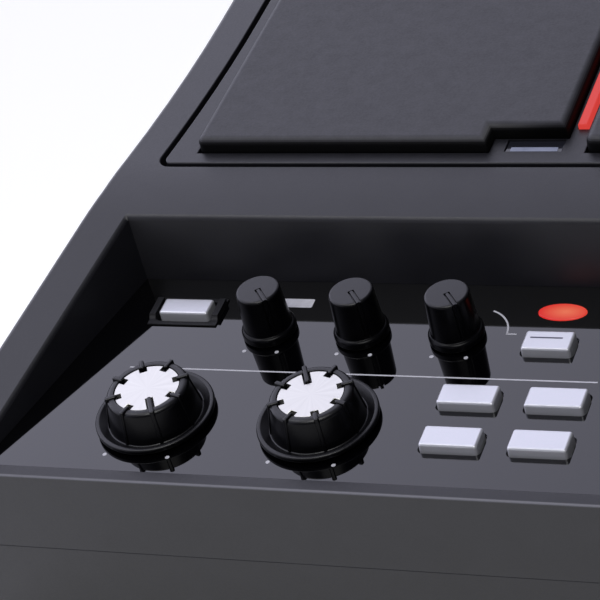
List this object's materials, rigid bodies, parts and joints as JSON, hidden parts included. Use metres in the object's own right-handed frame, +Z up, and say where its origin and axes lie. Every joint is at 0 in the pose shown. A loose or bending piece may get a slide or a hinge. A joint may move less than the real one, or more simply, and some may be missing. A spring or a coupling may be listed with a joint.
{
  "type": "sampling drum pad",
  "caption": "Wedge-shaped tabletop sampling drum pad with square rubber pads in a frame, a sunk gloss control panel with knobs and keys, and rear sockets.",
  "frame": {"origin": "centre of the footprint, on the plane that the feet stand on", "axes": "+X to the right of the player, +Y to the back, +Z up"},
  "size_m": [0.3624, 0.3294, 0.094],
  "materials": {
    "case_plastic": "fine moulded satin",
    "panel_acrylic": "polished",
    "pad_rubber": "matte",
    "foot_rubber": "matte",
    "knob_plastic": "satin",
    "cap_aluminium": "spun",
    "key_paint": "silver paint",
    "bezel_plastic": "semi gloss",
    "steel": "zinc plated",
    "plated_metal": "nickel plated",
    "brass": "turned",
    "red_light": "lit translucent",
    "marker_window": "translucent",
    "tempo_light": "lit translucent",
    "display_glass": "polished",
    "circuit_board": "solder mask",
    "socket_plastic": "moulded"
  },
  "bodies": {
    "case": {"bottom_case": "case_plastic", "top_case": "case_plastic", "control_panel": "panel_acrylic", "pad_frame": "case_plastic", "rubber_feet": "foot_rubber", "screws": "steel", "stand_inserts": "brass", "pad_1": "pad_rubber", "pad_2": "pad_rubber", "pad_3": "pad_rubber", "pad_4": "pad_rubber", "pad_5": "pad_rubber", "pad_6": "pad_rubber", "pad_7": "pad_rubber", "pad_8": "pad_rubber", "pad_9": "pad_rubber", "pad_plate": "steel", "pad_sensors": "brass", "light_bars": "red_light", "pad_windows": "marker_window", "potentiometers": "steel", "power_bezel": "bezel_plastic", "tempo_lens": "tempo_light", "display_window": "display_glass", "display_module": "socket_plastic", "panel_board": "circuit_board", "panel_switches": "socket_plastic", "main_board": "circuit_board", "phone_jacks": "socket_plastic", "jack_nuts": "plated_metal", "midi_sockets": "socket_plastic", "usb_sockets": "plated_metal", "dc_inlet": "socket_plastic"},
    "master_knob": {"master_knob": "knob_plastic", "master_shaft": "steel"},
    "phones_knob": {"phones_knob": "knob_plastic", "phones_shaft": "steel"},
    "click_knob": {"click_knob": "knob_plastic", "click_shaft": "steel"},
    "control_1_knob": {"control_1_knob": "knob_plastic", "control_1_shaft": "steel", "control_1_cap": "cap_aluminium"},
    "control_2_knob": {"control_2_knob": "knob_plastic", "control_2_shaft": "steel", "control_2_cap": "cap_aluminium"},
    "power_button": {"power_button": "key_paint"},
    "start_button": {"start_button": "key_paint"},
    "filter_button": {"filter_button": "key_paint"},
    "delay_button": {"delay_button": "key_paint"},
    "loop_button": {"loop_button": "key_paint"},
    "effect_button": {"effect_button": "key_paint"},
    "function_1_button": {"function_1_button": "key_paint"},
    "function_2_button": {"function_2_button": "key_paint"},
    "function_3_button": {"function_3_button": "key_paint"},
    "exit_button": {"exit_button": "key_paint"},
    "enter_button": {"enter_button": "key_paint"},
    "left_button": {"left_button": "key_paint"},
    "right_button": {"right_button": "key_paint"},
    "minus_button": {"minus_button": "key_paint"},
    "plus_button": {"plus_button": "key_paint"}
  },
  "joints": [
    {"name": "master_turn", "type": "hinge", "parent": "case", "child": "master_knob", "pos_m": [-0.11446, -0.11213, 0.05099], "axis": [0, -0.0872, 0.9962], "range_deg": [0, 300]},
    {"name": "phones_turn", "type": "hinge", "parent": "case", "child": "phones_knob", "pos_m": [-0.09141, -0.11213, 0.05099], "axis": [0, -0.0872, 0.9962], "range_deg": [0, 300]},
    {"name": "click_turn", "type": "hinge", "parent": "case", "child": "click_knob", "pos_m": [-0.06836, -0.11213, 0.05099], "axis": [0, -0.0872, 0.9962], "range_deg": [0, 300]},
    {"name": "control_1_turn", "type": "hinge", "parent": "case", "child": "control_1_knob", "pos_m": [-0.13187, -0.14262, 0.04832], "axis": [0, -0.0872, 0.9962], "range_deg": [0, 300]},
    {"name": "control_2_turn", "type": "hinge", "parent": "case", "child": "control_2_knob", "pos_m": [-0.09187, -0.14262, 0.04832], "axis": [0, -0.0872, 0.9962], "range_deg": [-177, 123]},
    {"name": "power_press", "type": "slide", "parent": "case", "child": "power_button", "axis": [0, 0.0872, -0.9962], "range_m": [0, 0.0008], "stiffness_N_per_m": 250, "springref_m": -0.0004},
    {"name": "start_press", "type": "slide", "parent": "case", "child": "start_button", "axis": [0, 0.0872, -0.9962], "range_m": [0, 0.0008], "stiffness_N_per_m": 250, "springref_m": -0.0004},
    {"name": "filter_press", "type": "slide", "parent": "case", "child": "filter_button", "axis": [0, 0.0872, -0.9962], "range_m": [0, 0.0008], "stiffness_N_per_m": 250, "springref_m": -0.0004},
    {"name": "delay_press", "type": "slide", "parent": "case", "child": "delay_button", "axis": [0, 0.0872, -0.9962], "range_m": [0, 0.0008], "stiffness_N_per_m": 250, "springref_m": -0.0004},
    {"name": "loop_press", "type": "slide", "parent": "case", "child": "loop_button", "axis": [0, 0.0872, -0.9962], "range_m": [0, 0.0008], "stiffness_N_per_m": 250, "springref_m": -0.0004},
    {"name": "effect_press", "type": "slide", "parent": "case", "child": "effect_button", "axis": [0, 0.0872, -0.9962], "range_m": [0, 0.0008], "stiffness_N_per_m": 250, "springref_m": -0.0004},
    {"name": "function_1_press", "type": "slide", "parent": "case", "child": "function_1_button", "axis": [0, 0.0872, -0.9962], "range_m": [0, 0.0008], "stiffness_N_per_m": 250, "springref_m": -0.0004},
    {"name": "function_2_press", "type": "slide", "parent": "case", "child": "function_2_button", "axis": [0, 0.0872, -0.9962], "range_m": [0, 0.0008], "stiffness_N_per_m": 250, "springref_m": -0.0004},
    {"name": "function_3_press", "type": "slide", "parent": "case", "child": "function_3_button", "axis": [0, 0.0872, -0.9962], "range_m": [0, 0.0008], "stiffness_N_per_m": 250, "springref_m": -0.0004},
    {"name": "exit_press", "type": "slide", "parent": "case", "child": "exit_button", "axis": [0, 0.0872, -0.9962], "range_m": [0, 0.0008], "stiffness_N_per_m": 250, "springref_m": -0.0004},
    {"name": "enter_press", "type": "slide", "parent": "case", "child": "enter_button", "axis": [0, 0.0872, -0.9962], "range_m": [0, 0.0008], "stiffness_N_per_m": 250, "springref_m": -0.0004},
    {"name": "left_press", "type": "slide", "parent": "case", "child": "left_button", "axis": [0, 0.0872, -0.9962], "range_m": [0, 0.0008], "stiffness_N_per_m": 250, "springref_m": -0.0004},
    {"name": "right_press", "type": "slide", "parent": "case", "child": "right_button", "axis": [0, 0.0872, -0.9962], "range_m": [0, 0.0008], "stiffness_N_per_m": 250, "springref_m": -0.0004},
    {"name": "minus_press", "type": "slide", "parent": "case", "child": "minus_button", "axis": [0, 0.0872, -0.9962], "range_m": [0, 0.0008], "stiffness_N_per_m": 250, "springref_m": -0.0004},
    {"name": "plus_press", "type": "slide", "parent": "case", "child": "plus_button", "axis": [0, 0.0872, -0.9962], "range_m": [0, 0.0008], "stiffness_N_per_m": 250, "springref_m": -0.0004}
  ]
}
